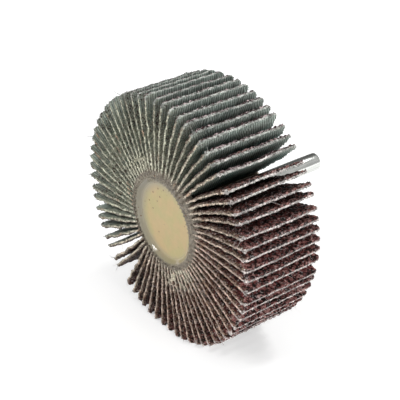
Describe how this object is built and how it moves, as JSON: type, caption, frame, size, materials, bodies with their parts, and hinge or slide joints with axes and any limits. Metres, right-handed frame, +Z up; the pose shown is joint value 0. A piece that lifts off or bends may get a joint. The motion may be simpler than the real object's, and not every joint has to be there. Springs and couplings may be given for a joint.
{
  "type": "flap wheel",
  "caption": "Mounted flap wheel: abrasive cloth flaps fanned round a cast resin core on a plain steel spindle, for grinding and blending metal in a drill or die grinder.",
  "frame": {"origin": "centre of the flat floor of the dish in the resin core's front, on the spin axis", "axes": "+Y along the spin axis from the dish's floor towards the spindle's free end, +Z up from the flat spot that the lowest flaps rest on, +X to the right seen from the front"},
  "size_m": [0.08, 0.0625, 0.0796],
  "materials": {
    "abrasive_cloth": "maroon grit on one side of a grey-green ribbed cloth with pale cut edges",
    "cast_resin": "smooth tan casting with a glossy grey rim",
    "ground_steel": "ground and polished"
  },
  "bodies": {
    "root": {"flap_01": "abrasive_cloth", "flap_02": "abrasive_cloth", "flap_03": "abrasive_cloth", "flap_04": "abrasive_cloth", "flap_05": "abrasive_cloth", "flap_06": "abrasive_cloth", "flap_07": "abrasive_cloth", "flap_08": "abrasive_cloth", "flap_09": "abrasive_cloth", "flap_10": "abrasive_cloth", "flap_11": "abrasive_cloth", "flap_12": "abrasive_cloth", "flap_13": "abrasive_cloth", "flap_14": "abrasive_cloth", "flap_15": "abrasive_cloth", "flap_16": "abrasive_cloth", "flap_17": "abrasive_cloth", "flap_18": "abrasive_cloth", "flap_19": "abrasive_cloth", "flap_20": "abrasive_cloth", "flap_21": "abrasive_cloth", "flap_22": "abrasive_cloth", "flap_23": "abrasive_cloth", "flap_24": "abrasive_cloth", "flap_25": "abrasive_cloth", "flap_26": "abrasive_cloth", "flap_27": "abrasive_cloth", "flap_28": "abrasive_cloth", "flap_29": "abrasive_cloth", "flap_30": "abrasive_cloth", "flap_31": "abrasive_cloth", "flap_32": "abrasive_cloth", "flap_33": "abrasive_cloth", "flap_34": "abrasive_cloth", "flap_35": "abrasive_cloth", "flap_36": "abrasive_cloth", "flap_37": "abrasive_cloth", "flap_38": "abrasive_cloth", "flap_39": "abrasive_cloth", "flap_40": "abrasive_cloth", "flap_41": "abrasive_cloth", "flap_42": "abrasive_cloth", "flap_43": "abrasive_cloth", "flap_44": "abrasive_cloth", "flap_45": "abrasive_cloth", "flap_46": "abrasive_cloth", "flap_47": "abrasive_cloth", "flap_48": "abrasive_cloth", "flap_49": "abrasive_cloth", "flap_50": "abrasive_cloth", "flap_51": "abrasive_cloth", "flap_52": "abrasive_cloth", "flap_53": "abrasive_cloth", "flap_54": "abrasive_cloth", "flap_55": "abrasive_cloth", "flap_56": "abrasive_cloth", "flap_57": "abrasive_cloth", "resin_core": "cast_resin", "spindle": "ground_steel"}
  },
  "joints": []
}
